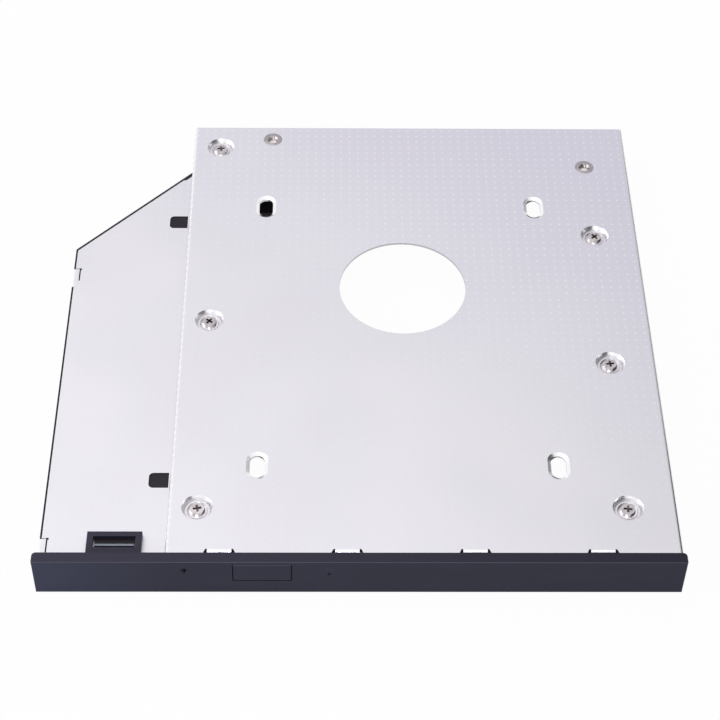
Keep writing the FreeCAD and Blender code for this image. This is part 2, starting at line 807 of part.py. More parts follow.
def drive_contact_places(first, count):
    """Places of a run of drive contacts, counted from the first data contact."""
    start = receptacle_x - drive_contact_steps * drive_contact_pitch / 2
    return [start + (first + i) * drive_contact_pitch for i in range(count)]


def make_drive_contacts(places):
    """Spring contacts in the receptacle, each with a foot on the board."""
    slot_top = receptacle_middle + receptacle_slot / 2
    near = receptacle_front + 2 * contact_thickness
    bend = receptacle_rear + contact_thickness
    profile = [
        (near, slot_top - contact_thickness),
        (bend, slot_top - contact_thickness),
        (bend, board_low - contact_thickness),
        (receptacle_rear + foot_length, board_low - contact_thickness),
        (receptacle_rear + foot_length, board_low),
        (receptacle_rear, board_low),
        (receptacle_rear, slot_top),
        (near, slot_top),
    ]
    half = contact_width / 2
    return [along_x(profile, x - half, x + half) for x in places]


def receptacle_slots():
    """Two keyed slots, for the drive's data and power tongues."""
    z0 = receptacle_middle - receptacle_slot / 2
    z1 = receptacle_middle + receptacle_slot / 2
    deep = receptacle_front + receptacle_slot_depth
    data = drive_contact_places(0, data_contacts)
    power = drive_contact_places(data_contacts + drive_contact_break - 1, drive_power_contacts)
    slots = []
    for places, key_at_start in ((data, False), (power, True)):
        x0 = places[0] - drive_contact_pitch
        x1 = places[-1] + drive_contact_pitch
        slots.append(box(x0, x1, receptacle_front - 1, deep, z0, z1))
        key_x = x0 if key_at_start else x1 - receptacle_key_width
        slots.append(box(key_x, key_x + receptacle_key_width, receptacle_front - 1, deep,
                         z0 - receptacle_slot / 3, z1))
    return slots


def make_drive_receptacle(contacts):
    """The 22-way socket's housing, with a channel for each contact."""
    x0 = receptacle_x - receptacle_width / 2
    x1 = receptacle_x + receptacle_width / 2
    low = board_low - receptacle_height
    housing = box(x0, x1, receptacle_front, receptacle_rear, low, board_low)
    side = edges_along(housing, 1, (x0, low)) + edges_along(housing, 1, (x1, low))
    housing = housing.makeChamfer(receptacle_height / 8, side)
    housing = housing.cut(receptacle_slots())
    return housing.cut(contacts).removeSplitter()


def slim_contact_places():
    """Places of the plug's data contacts and of its power contacts."""
    span = (data_contacts - 1) * slim_data_pitch + plug_break + (slim_power_contacts - 1) * slim_power_pitch
    start = plug_x - span / 2
    data = [start + i * slim_data_pitch for i in range(data_contacts)]
    power = [data[-1] + plug_break + i * slim_power_pitch for i in range(slim_power_contacts)]
    return data, power


def make_slim_contacts(places):
    """Strips along the underside of the plug's tongue, each with a foot on the board."""
    tongue_low = plug_tongue_low()
    tip = rear - plug_wall
    profile = [
        (plug_front - foot_length, board_low),
        (plug_front - foot_length, board_low - contact_thickness),
        (plug_front - contact_thickness, board_low - contact_thickness),
        (plug_front - contact_thickness, tongue_low - contact_thickness),
        (tip, tongue_low - contact_thickness),
        (tip, tongue_low),
        (plug_front, tongue_low),
        (plug_front, board_low),
    ]
    half = contact_width / 2
    return [along_x(profile, x - half, x + half) for x in places]


def plug_tongue_low():
    """Height of the underside of the plug's tongue."""
    return board_low - plug_height / 2 - plug_tongue / 2 + contact_thickness


def make_host_plug(contacts):
    """The slim plug's housing: a shroud open to the rear, with a tongue for data and one for power."""
    half = plug_width / 2
    low = board_low - plug_height
    body = box(plug_x - half, plug_x + half, plug_front, rear, low, board_low)
    room = box(plug_x - half + plug_wall, plug_x + half - plug_wall, plug_front + 2 * plug_wall, rear + 1,
               low + plug_wall, board_low - plug_wall)
    body = body.cut(room)
    tongue_low = plug_tongue_low()
    for places in slim_contact_places():
        tongue = box(places[0] - slim_data_pitch, places[-1] + slim_data_pitch, plug_front + plug_wall,
                     rear - plug_wall / 2, tongue_low, tongue_low + plug_tongue)
        body = body.fuse(tongue)
    return body.cut(contacts).removeSplitter()


def make_board_locks(x_low, x_high, y):
    """Two metal angles that hold a connector's ends to the board."""
    half = lock_width / 2
    rise = receptacle_height / 2
    angles = []
    for x, side in ((x_low, -1), (x_high, 1)):
        profile = [
            (x, board_low - rise),
            (x, board_low),
            (x + side * lock_foot, board_low),
            (x + side * lock_foot, board_low - lock_thickness),
            (x + side * lock_thickness, board_low - lock_thickness),
            (x + side * lock_thickness, board_low - rise),
        ]
        angles.append(along_y(profile, y - half, y + half))
    return angles


def make_chips(shares, inset, size):
    """A row of small surface-mounted blocks on the board's lower face, set in from its rear edge."""
    length, width, height = size
    chips = []
    for share in shares:
        x = clear_board_x(share)
        y = board_rear - inset
        chips.append(box(x - length / 2, x + length / 2, y - width / 2, y + width / 2,
                         board_low - height, board_low))
    return Part.makeCompound(chips)


def clear_board_x(share):
    """A place along the clear stretch of board between the left screw and the plug."""
    start = board_screw_places[0][1] + board_screw_head_radius
    end = plug_x - plug_width / 2 - lock_foot
    return start + (end - start) * share


def build():
    """Every sub-part by name."""
    data_feet = make_drive_contacts(drive_contact_places(0, data_contacts))
    power_feet = make_drive_contacts(drive_contact_places(data_contacts + drive_contact_break - 1,
                                                          drive_power_contacts))
    slim_data, slim_power = slim_contact_places()
    plug_data = make_slim_contacts(slim_data)
    plug_power = make_slim_contacts(slim_power)
    receptacle_ends = (receptacle_x - receptacle_width / 2, receptacle_x + receptacle_width / 2)
    plug_ends = (plug_x - plug_width / 2, plug_x + plug_width / 2)
    parts = {
        "bottom_plate": make_bottom_plate(),
        "tray_frame": make_tray_frame(),
        "front_bezel": make_front_bezel(),
        "eject_button": make_eject_button(),
        "connector_board": make_connector_board(),
        "drive_receptacle": make_drive_receptacle(data_feet + power_feet),
        "drive_data_contacts": Part.makeCompound(data_feet),
        "drive_power_contacts": Part.makeCompound(power_feet),
        "host_plug": make_host_plug(plug_data + plug_power),
        "host_data_contacts": Part.makeCompound(plug_data),
        "host_power_contacts": Part.makeCompound(plug_power),
        "drive_board_locks": Part.makeCompound(
            make_board_locks(receptacle_ends[0], receptacle_ends[1], receptacle_rear - lock_width)),
        "host_board_locks": Part.makeCompound(
            make_board_locks(plug_ends[0], plug_ends[1], plug_front + lock_width)),
        "board_capacitors": make_chips(capacitor_shares, capacitor_inset, capacitor_size),
        "board_resistors": make_chips(resistor_shares, resistor_inset, resistor_size),
    }
    for name, x, y in screw_places:
        parts[f"plate_screw_{name}"] = make_plate_screw(x, y)
    for name, x, y in nut_places:
        parts[f"bracket_nut_{name}"] = make_bracket_nut(x, y)
    for name, x, y in board_screw_places:
        parts[f"board_screw_{name}"] = make_board_screw(x, y)
    return parts


os.makedirs("parts", exist_ok=True)
for node, shape in build().items():
    shape.translate(V(0, 0, bezel_drop))
    shape.exportStep(f"parts/{node}.step")
    size = shape.BoundBox
    print(f"{node}: solids {len(shape.Solids)}, valid {shape.isValid()}, volume {shape.Volume:.2f}, "
          f"x {size.XMin:.2f} to {size.XMax:.2f}, y {size.YMin:.2f} to {size.YMax:.2f}, "
          f"z {size.ZMin:.2f} to {size.ZMax:.2f}")
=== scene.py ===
"""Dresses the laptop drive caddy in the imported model's own frame and sets up its studio.

Lengths are metres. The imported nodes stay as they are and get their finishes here. The screws, the bracket nuts
and the board's small parts are modelled again with the detail that the solids leave out. A span holds the two
ends of a change, and a share says how much of something there is.
"""

import json
import logging
import math
from collections.abc import Iterator
from contextlib import contextmanager
from dataclasses import dataclass, field
from enum import Enum

import bmesh
import bpy
from mathutils import Matrix, Vector

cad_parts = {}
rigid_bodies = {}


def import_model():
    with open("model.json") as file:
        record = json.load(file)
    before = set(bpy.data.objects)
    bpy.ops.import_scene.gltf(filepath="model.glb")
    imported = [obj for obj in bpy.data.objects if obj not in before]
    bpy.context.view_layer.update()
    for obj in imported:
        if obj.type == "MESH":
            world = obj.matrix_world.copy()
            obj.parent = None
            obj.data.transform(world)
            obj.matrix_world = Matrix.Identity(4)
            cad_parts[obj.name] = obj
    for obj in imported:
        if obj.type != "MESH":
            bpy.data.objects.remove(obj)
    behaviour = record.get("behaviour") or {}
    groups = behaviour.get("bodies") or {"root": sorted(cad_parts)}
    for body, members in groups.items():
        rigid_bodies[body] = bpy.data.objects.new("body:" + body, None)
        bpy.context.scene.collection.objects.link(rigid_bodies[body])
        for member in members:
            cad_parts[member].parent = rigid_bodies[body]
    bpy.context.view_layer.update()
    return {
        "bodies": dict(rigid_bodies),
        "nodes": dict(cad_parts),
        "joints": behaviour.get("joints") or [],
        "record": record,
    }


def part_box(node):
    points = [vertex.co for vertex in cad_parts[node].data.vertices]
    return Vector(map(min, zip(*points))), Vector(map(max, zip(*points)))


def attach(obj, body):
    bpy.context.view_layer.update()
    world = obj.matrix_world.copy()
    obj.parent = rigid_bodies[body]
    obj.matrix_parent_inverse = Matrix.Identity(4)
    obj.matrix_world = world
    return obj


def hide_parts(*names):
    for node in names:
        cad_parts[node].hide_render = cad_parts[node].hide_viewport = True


LOG = logging.getLogger("caddy")
MM = 0.001
BODY = "caddy"

# Heights closer than CLOSE are one, a face whose normal rises more than LEVEL_NORMAL is level, edges sharper
# than CRISP_ANGLE degrees stay crisp, and most of a noise's values lie in NOISE_SPAN
CLOSE = 0.002 * MM
LEVEL_NORMAL = 0.9
CRISP_ANGLE = 35
NOISE_SPAN = (0.3, 0.7)

# A thread's ridge is a triangle wound round the axis: its steps in a turn, its share of the pitch,
# the reach and side of a triangle in a unit circle, and the turn that stands it up with a corner outwards
THREAD_STEPS = 28
THREAD_SHARE = 0.8
TRIANGLE_REACH = 1.5
TRIANGLE_SIDE = math.sqrt(3)
STANDING = Matrix(((0, 1, 0), (0, 0, 1), (1, 0, 0)))

Span = tuple[float, float]
Triple = tuple[float, float, float]
Colour = Triple
Material = bpy.types.Material
Socket = bpy.types.NodeSocket
Piece = bpy.types.Object

WHITE: Colour = (1, 1, 1)


class Slot(Enum):
    """The record's material slots, whose names the new pieces' finishes share."""

    SCREW = "nickel_screw"
    NUT = "nickel_nut"
    CAPACITOR = "capacitor_body"
    RESISTOR = "resistor_body"


# Modelling helpers


def rest_selection() -> None:
    """Leaves edit mode and deselects every object."""
    active = bpy.context.view_layer.objects.active
    if active is not None and active.mode != "OBJECT":
        bpy.ops.object.mode_set(mode="OBJECT")
    bpy.ops.object.select_all(action="DESELECT")


def take_active(piece: Piece) -> None:
    """Makes a piece the only selected and active object.

    Args:
        piece: The object to select.
    """
    rest_selection()
    bpy.context.view_layer.objects.active = piece
    piece.select_set(True)


@contextmanager
def editing(piece: Piece) -> Iterator[None]:
    """Holds a piece in edit mode, with nothing selected at the start.

    Args:
        piece: The object to edit.
    """
    take_active(piece)
    bpy.ops.object.mode_set(mode="EDIT")
    bpy.ops.mesh.select_mode(type="FACE")
    bpy.ops.mesh.select_all(action="DESELECT")
    yield
    bpy.ops.object.mode_set(mode="OBJECT")


def select_level(piece: Piece, height: float, facing: float) -> None:
    """Selects the level faces at one height that look up or down.

    Args:
        piece: The object in edit mode.
        height: The faces' height.
        facing: 1 for faces that look up, -1 for faces that look down.
    """
    bpy.ops.mesh.select_mode(type="FACE")
    bpy.ops.mesh.select_all(action="DESELECT")
    mesh = bmesh.from_edit_mesh(piece.data)
    for face in mesh.faces:
        near = abs(face.calc_center_median().z - height) < CLOSE
        face.select_set(near and face.normal.z * facing > LEVEL_NORMAL)
    bmesh.update_edit_mesh(piece.data)


def push(rise: float) -> None:
    """Extrudes the selected faces straight up, or down where the rise is negative.

    Args:
        rise: How far the new faces move.
    """
    bpy.ops.mesh.extrude_region_move(TRANSFORM_OT_translate={"value": (0, 0, rise)})


def settle(piece: Piece) -> None:
    """Moves an object's place, turn and scale into its mesh.

    Args:
        piece: The object to settle at the origin.
    """
    take_active(piece)
    bpy.ops.object.transform_apply(location=True, rotation=True, scale=True)


def finish_primitive(name: str) -> Piece:
    """Names and settles the primitive that was just added.

    Args:
        name: Its name.

    Returns:
        The new object.
    """
    piece = bpy.context.active_object
    piece.name = name
    settle(piece)
    return piece


def cylinder(name: str, radius: float, low: float, high: float, sides: int) -> Piece:
    """Adds an upright cylinder on the Z axis.

    Args:
        name: The new object's name.
        radius: Its radius.
        low: The height of its lower end.
        high: The height of its upper end.
        sides: How many sides it has.

    Returns:
        The new object.
    """
    rest_selection()
    bpy.ops.mesh.primitive_cylinder_add(
        vertices=sides, radius=radius, depth=high - low, end_fill_type="NGON", location=(0, 0, (low + high) / 2))
    return finish_primitive(name)


def block(name: str, low: Vector, high: Vector) -> Piece:
    """Adds a box between two corners.

    Args:
        name: The new object's name.
        low: The lowest corner.
        high: The highest corner.

    Returns:
        The new object.
    """
    rest_selection()
    bpy.ops.mesh.primitive_cube_add(size=1, location=(low + high) / 2, scale=high - low)
    return finish_primitive(name)


def shape(piece: Piece, kind: str, **settings: object) -> None:
    """Gives a piece a modifier and applies it.

    Args:
        piece: The object.
        kind: The modifier's kind.
        **settings: The modifier's values.
    """
    modifier = piece.modifiers.new(kind, kind)
    for name, value in settings.items():
        setattr(modifier, name, value)
    take_active(piece)
    bpy.ops.object.modifier_apply(modifier=modifier.name)


def cut(piece: Piece, cutter: Piece) -> None:
    """Takes one solid out of another and removes the cutter.

    Args:
        piece: The object that keeps its name.
        cutter: The object to subtract.
    """
    shape(piece, "BOOLEAN", operation="DIFFERENCE", solver="EXACT", use_self=True, material_mode="TRANSFER",
          object=cutter)
    bpy.data.objects.remove(cutter)


def join(pieces: list[Piece], name: str) -> Piece:
    """Joins objects into one.

    Args:
        pieces: The objects, of which the first keeps its data.
        name: The joined object's name.

    Returns:
        The joined object.
    """
    take_active(pieces[0])
    for piece in pieces:
        piece.select_set(True)
    bpy.ops.object.join()
    pieces[0].name = name
    return pieces[0]


def smooth(piece: Piece) -> None:
    """Shades a piece smooth, apart from its crisp edges.

    Args:
        piece: The object to shade.
    """
    take_active(piece)
    bpy.ops.object.shade_smooth_by_angle(angle=math.radians(CRISP_ANGLE))


def on_axis(node: str, height: float) -> Vector:
    """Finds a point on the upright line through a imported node's middle.

    Args:
        node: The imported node's name.
        height: The point's height.

    Returns:
        The point.
    """
    low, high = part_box(node)
    return Vector(((low.x + high.x) / 2, (low.y + high.y) / 2, height))


def placed_copy(pattern: Piece, name: str, place: Vector, turn: float = 0) -> Piece:
    """Copies a pattern with a mesh of its own, turned about Z and moved to its place.

    Args:
        pattern: The object to copy.
        name: The copy's name.
        place: Where the pattern's origin goes.
        turn: The turn about Z in degrees.

    Returns:
        The copy, at the origin with its place in its mesh.
    """
    copy = pattern.copy()
    copy.data = pattern.data.copy()
    copy.name = name
    copy.data.name = name
    bpy.context.scene.collection.objects.link(copy)
    copy.location = place
    copy.rotation_euler.z = math.radians(turn)
    settle(copy)
    return copy


def helix(name: str, root: float, crest: float, pitch: float, low: float, turns: float) -> Piece:
    """Winds one thread ridge about the Z axis.

    Args:
        name: The new object's name.
        root: The radius of the ridge's foot.
        crest: The radius of its crest, inside or outside the root.
        pitch: The rise of one turn.
        low: The height at which the ridge starts.
        turns: How many turns it has.

    Returns:
        The ridge, closed at both ends.
    """
    rest_selection()
    wide = (crest - root) / TRIANGLE_REACH
    tall = pitch * THREAD_SHARE / TRIANGLE_SIDE
    middle = (root + wide / 2, 0, low + pitch * THREAD_SHARE / 2)
    bpy.ops.mesh.primitive_circle_add(vertices=3, radius=1, fill_type="NOTHING", location=middle,
                                      rotation=STANDING.to_euler())
    bpy.context.active_object.scale = (tall, wide, 1)
    piece = finish_primitive(name)
    steps = int(THREAD_STEPS * turns)
    shape(piece, "SCREW", axis="Z", angle=math.tau * turns, screw_offset=pitch * turns, steps=steps,
          render_steps=steps)
    with editing(piece):
        bpy.ops.mesh.select_all(action="SELECT")
        bpy.ops.mesh.fill_holes(sides=3)
        bpy.ops.mesh.select_all(action="SELECT")
        bpy.ops.mesh.normals_make_consistent(inside=False)
    return piece


# Finishes


class Nodes:
    """The node tree of a material or world, with short calls for what it is built from."""

    def __init__(self, owner: Material | bpy.types.World) -> None:
        """Starts an empty tree.

        Args:
            owner: The material or world.
        """
        owner.use_nodes = True
        self.tree = owner.node_tree
        self.tree.nodes.clear()

    def add(self, kind: str) -> bpy.types.Node:
        """Adds a node of one kind."""
        return self.tree.nodes.new(kind)

    def join(self, source: Socket, target: Socket) -> None:
        """Links an output to an input."""
        self.tree.links.new(source, target)

    def feed(self, target: Socket, value: Socket | float | Triple) -> None:
        """Links an output to an input, or sets the input to a number, vector or colour.

        Args:
            target: The input.
            value: An output socket, a number, a vector or a colour.
        """
        if isinstance(value, bpy.types.NodeSocket):
            self.join(value, target)
        elif isinstance(value, tuple) and target.type == "RGBA":
            target.default_value = (*value, 1)
        else:
            target.default_value = value

    def calc(self, operation: str, first: Socket | float, second: Socket | float = 0) -> Socket:
        """Adds a Math node.

        Args:
            operation: The node's operation.
            first: The first value.
            second: The second value.

        Returns:
            The node's output.
        """
        node = self.add("ShaderNodeMath")
        node.operation = operation
        self.feed(node.inputs[0], first)
        self.feed(node.inputs[1], second)
        return node.outputs[0]

    def seen_directly(self) -> Socket:
        """Tells the rays that should see the white background.

        Returns:
            1 for camera, glossy and transmission rays, and 0 for the rest.
        """
        rays = self.add("ShaderNodeLightPath").outputs
        mirrored = self.calc("MAXIMUM", rays["Is Glossy Ray"], rays["Is Transmission Ray"])
        return self.calc("MAXIMUM", rays["Is Camera Ray"], mirrored)

    def mix_to_output(self, share: Socket, first: bpy.types.Node, second: bpy.types.Node, output: str) -> None:
        """Sends a mix of two shaders to a new output.

        Args:
            share: How much of the second shader shows.
            first: The first shader.
            second: The second shader.
            output: The output's kind.
        """
        mix = self.add("ShaderNodeMixShader")
        for source, target in zip((share, first.outputs[0], second.outputs[0]), mix.inputs):
            self.join(source, target)
        self.join(mix.outputs[0], self.add(output).inputs["Surface"])


class Shader(Nodes):
    """One material of the object, with the nodes that its finishes use."""

    def __init__(self, name: str) -> None:
        """Starts a material that holds only a Principled BSDF and its output.

        Args:
            name: The material's name.
        """
        self.material = bpy.data.materials.new(name)
        super().__init__(self.material)
        self.surface = self.add("ShaderNodeBsdfPrincipled")
        self.join(self.surface.outputs["BSDF"], self.add("ShaderNodeOutputMaterial").inputs["Surface"])
        self.place = self.add("ShaderNodeTexCoord").outputs["Object"]

    def vector(self, operation: str, first: Socket, second: Triple = (0, 0, 0)) -> Socket:
        """Adds a Vector Math node.

        Args:
            operation: The node's operation.
            first: The first vector.
            second: The second vector.

        Returns:
            The node's vector output, or its value output where the result is a number.
        """
        node = self.add("ShaderNodeVectorMath")
        node.operation = operation
        self.feed(node.inputs[0], first)
        self.feed(node.inputs[1], second)
        return node.outputs["Value" if operation in ("LENGTH", "DOT_PRODUCT") else "Vector"]

    def axis(self, name: str, vector: Socket | None = None) -> Socket:
        """Takes one coordinate of the place on the piece, or of another vector.

        Args:
            name: X, Y or Z.
            vector: The other vector, or None.

        Returns:
            The coordinate.
        """
        node = self.add("ShaderNodeSeparateXYZ")
        self.join(self.place if vector is None else vector, node.inputs["Vector"])
        return node.outputs[name]

    def between(self, value: Socket, low: float, high: float) -> Socket:
        """Finds where a value lies between two numbers.

        Args:
            value: The value.
            low: The lower number.
            high: The higher number.

        Returns:
            1 between them and 0 elsewhere.
        """
        return self.calc("MULTIPLY", self.calc("GREATER_THAN", value, low), self.calc("LESS_THAN", value, high))

    def noise(self, cell: float, detail: float = 2, roughness: float = 0.5, stretch: Triple | None = None) -> Socket:
        """Adds a noise texture over the piece.

        Args:
            cell: The noise's grain in metres.
            detail: How many finer layers it has.
            roughness: How strong the finer layers are.
            stretch: A scale for each axis, or None for an even grain.

        Returns:
            The noise's value.
        """
        place = self.place if stretch is None else self.vector("MULTIPLY", self.place, stretch)
        node = self.add("ShaderNodeTexNoise")
        self.join(place, node.inputs["Vector"])
        node.inputs["Scale"].default_value = 1 / cell
        node.inputs["Detail"].default_value = detail
        node.inputs["Roughness"].default_value = roughness
        return node.outputs["Fac"]

    def remap(self, value: Socket, low: float, high: float, start: float, end: float, soft: bool = False) -> Socket:
        """Maps a value's range onto another, kept within it.

        Args:
            value: The value to map.
            low: The value that gives start.
            high: The value that gives end.
            start: The result's first end.
            end: The result's second end.
            soft: Whether the step is eased.

        Returns:
            The mapped value.
        """
        node = self.add("ShaderNodeMapRange")
        node.interpolation_type = "SMOOTHSTEP" if soft else "LINEAR"
        for name, number in (("From Min", low), ("From Max", high), ("To Min", start), ("To Max", end)):
            node.inputs[name].default_value = number
        self.join(value, node.inputs["Value"])
        return node.outputs["Result"]

    def blend(self, share: Socket | float, first: Socket | float | Colour, second: Socket | float | Colour,
              kind: str = "RGBA") -> Socket:
        """Mixes two colours or numbers.

        Args:
            share: How much of the second one shows.
            first: The first colour or number.
            second: The second colour or number.
            kind: RGBA for colours, FLOAT for numbers.

        Returns:
            The mixed colour or number.
        """
        node = self.add("ShaderNodeMix")
        node.data_type = kind
        for name, value in (("Factor", share), ("A", first), ("B", second)):
            self.feed(node.inputs[name], value)
        return node.outputs["Result"]

    def levelness(self) -> Socket:
        """Tells level faces from those that stand up or slope.

        Returns:
            1 on level faces, 0 on upright ones and the shares between on sloping ones.
        """
        return self.calc("ABSOLUTE", self.axis("Z", self.add("ShaderNodeNewGeometry").outputs["Normal"]))

    def relief(self, height: Socket, depth: float) -> None:
        """Gives the surface a bump.

        Args:
            height: The relief from 0 to 1.
            depth: The height of the relief in metres.
        """
        node = self.add("ShaderNodeBump")
        node.inputs["Distance"].default_value = depth
        self.join(height, node.inputs["Height"])
        self.join(node.outputs["Normal"], self.surface.inputs["Normal"])

    def paint(self, colour: Socket | Colour, roughness: Socket | float, metallic: float = 0) -> None:
        """Sets the main surface values.

        Args:
            colour: The base colour.
            roughness: The roughness.
            metallic: 1 for bare metal, 0 for anything else.
        """
        self.feed(self.surface.inputs["Base Color"], colour)
        self.feed(self.surface.inputs["Roughness"], roughness)
        self.surface.inputs["Metallic"].default_value = metallic


@dataclass(frozen=True)
class DottedSheet:
    """Satin aluminium sheet with rows of fine embossed dots on its level faces."""

    ground: Colour = (0.630, 0.613, 0.660)
    drift: Colour = (0.652, 0.641, 0.676)
    drift_grain: float = 28 * MM
    drift_span: Span = (0.35, 0.65)
    # Painted shade: the ground turns darker and bluer towards the far right
    rear: Colour = (0.590, 0.574, 0.651)
    rear_direction: Triple = (0.8, 1, 0)
    painted_far_shade_span: Span = (-10 * MM, 90 * MM)
    # Painted highlight: drawn and bent faces are painted much paler than the ground, and the step's bend carries paler
    # dots
    drawn: Colour = (0.90, 0.90, 0.92)
    drawn_span: Span = (0.985, 0.95)
    drawn_roughness: Span = (0.21, 0.29)
    flat_roughness: Span = (0.43, 0.52)
    sheared: Colour = (0.53, 0.52, 0.56)
    sheared_roughness: float = 0.45
    sheared_depth: float = 0.8 * MM
    sheared_level: float = 0.05
    grain: float = 0.16 * MM
    grain_share: float = 0.10
    pitch: float = 2.0 * MM
    dot: Colour = (0.735, 0.72, 0.77)
    dot_middle: Triple = (0.45 * MM, 1.28 * MM, 0)
    dot_span: Span = (0.132 * MM, 0.288 * MM)
    dot_height: float = 0.012 * MM
    dot_band: float = 0.05 * MM
    patch_grain: float = 1.1 * MM
    patch_span: Span = (0.25, 0.6)
    patch_share: float = 0.35
    # The dots fade towards the front left, down to this share of their strength
    dot_fade_span: Span = (-12 * MM, 45 * MM)
    dot_fade_share: float = 0.28
    step_span: Span = (-45 * MM, -37.5 * MM)
    step_highlight_colours: tuple[Colour, Colour] = ((0.87, 0.865, 0.89), (0.93, 0.93, 0.94))
    step_dot_middle: Triple = (0, 1.0 * MM, 9.6 * MM)
    step_dot_span: Span = (0.24 * MM, 0.60 * MM)

    def dot_grid(self, shader: Shader, axes: Triple, middle: Triple, span: Span) -> Socket:
        """Draws one soft round dot in each cell of a square grid.

        Args:
            shader: The material.
            axes: 1 for each axis that the grid runs along and 0 for the other.
            middle: The middle of one dot.
            span: The distances from its middle at which a dot starts to fade and ends.

        Returns:
            1 on the dots and 0 between them.
        """
        half = tuple(axis / 2 for axis in axes)
        scale = tuple(axis / self.pitch for axis in axes)
        start = tuple(share - place / self.pitch for share, place in zip(half, middle))
        grid = shader.vector("ADD", shader.vector("MULTIPLY", shader.place, scale), start)
        distance = shader.vector("LENGTH", shader.vector("SUBTRACT", shader.vector("FRACTION", grid), half))
        near, far = (reach / self.pitch for reach in span)
        return shader.remap(distance, near, far, 1, 0, soft=True)

    def drawn_highlight_colour(self, shader: Shader) -> Socket:
        """Paints a highlight on the drawn faces, with the dots that the step's bend carries.

        Args:
            shader: The material.

        Returns:
            The colour.
        """
        dots = self.dot_grid(shader, (0, 1, 1), self.step_dot_middle, self.step_dot_span)
        step = shader.between(shader.axis("X"), *self.step_span)
        return shader.blend(step, self.drawn, shader.blend(dots, *self.step_highlight_colours))

    def material(self, heights: Span) -> Material:
        """Builds the material: dots fainter at the front left, painted shade far right, painted highlight on bends,
        dull cut edges.

        Args:
            heights: The heights of the level faces that carry dots, the deck's first.

        Returns:
            The material.
        """
        shader = Shader("satin_sheet")
        drift = shader.remap(shader.noise(self.drift_grain, detail=1), *self.drift_span, 0, 1)
        rearward = shader.vector("DOT_PRODUCT", shader.place, self.rear_direction)
        # Painted shade that darkens the ground towards the far right
        rear = shader.remap(rearward, *self.painted_far_shade_span, 0, 1)
        ground = shader.blend(rear, shader.blend(drift, self.ground, self.drift), self.rear)
        dots = shader.calc("MULTIPLY", self.dot_grid(shader, (1, 1, 0), self.dot_middle, self.dot_span),
                           shader.remap(rearward, *self.dot_fade_span, self.dot_fade_share, 1))
        near = (shader.between(shader.axis("Z"), height - self.dot_band, height + self.dot_band) for height in heights)
        dots = shader.calc("MULTIPLY", dots, shader.calc("MAXIMUM", *near))
        patches = shader.remap(shader.noise(self.patch_grain, detail=1), *self.patch_span, self.patch_share, 1)
        colour = shader.blend(shader.calc("MULTIPLY", dots, patches), ground, self.dot)
        level = shader.levelness()
        drawn = shader.remap(level, *self.drawn_span, 0, 1)
        high = shader.calc("GREATER_THAN", shader.axis("Z"), heights[0] - self.sheared_depth)
        sheared = shader.calc("MULTIPLY", high, shader.calc("LESS_THAN", level, self.sheared_level))
        # Painted highlight on the drawn faces and the step's bend
        colour = shader.blend(sheared, shader.blend(drawn, colour, self.drawn_highlight_colour(shader)), self.sheared)
        grain = shader.noise(self.grain, detail=3, roughness=0.6)
        flat, bent = (shader.remap(grain, *NOISE_SPAN, *ends) for ends in (self.flat_roughness, self.drawn_roughness))
        rough = shader.blend(sheared, shader.blend(drawn, flat, bent, "FLOAT"), self.sheared_roughness, "FLOAT")
        shader.paint(colour, rough, metallic=1)
        shader.relief(shader.calc("ADD", shader.calc("MULTIPLY", grain, self.grain_share), dots), self.dot_height)
        return shader.material


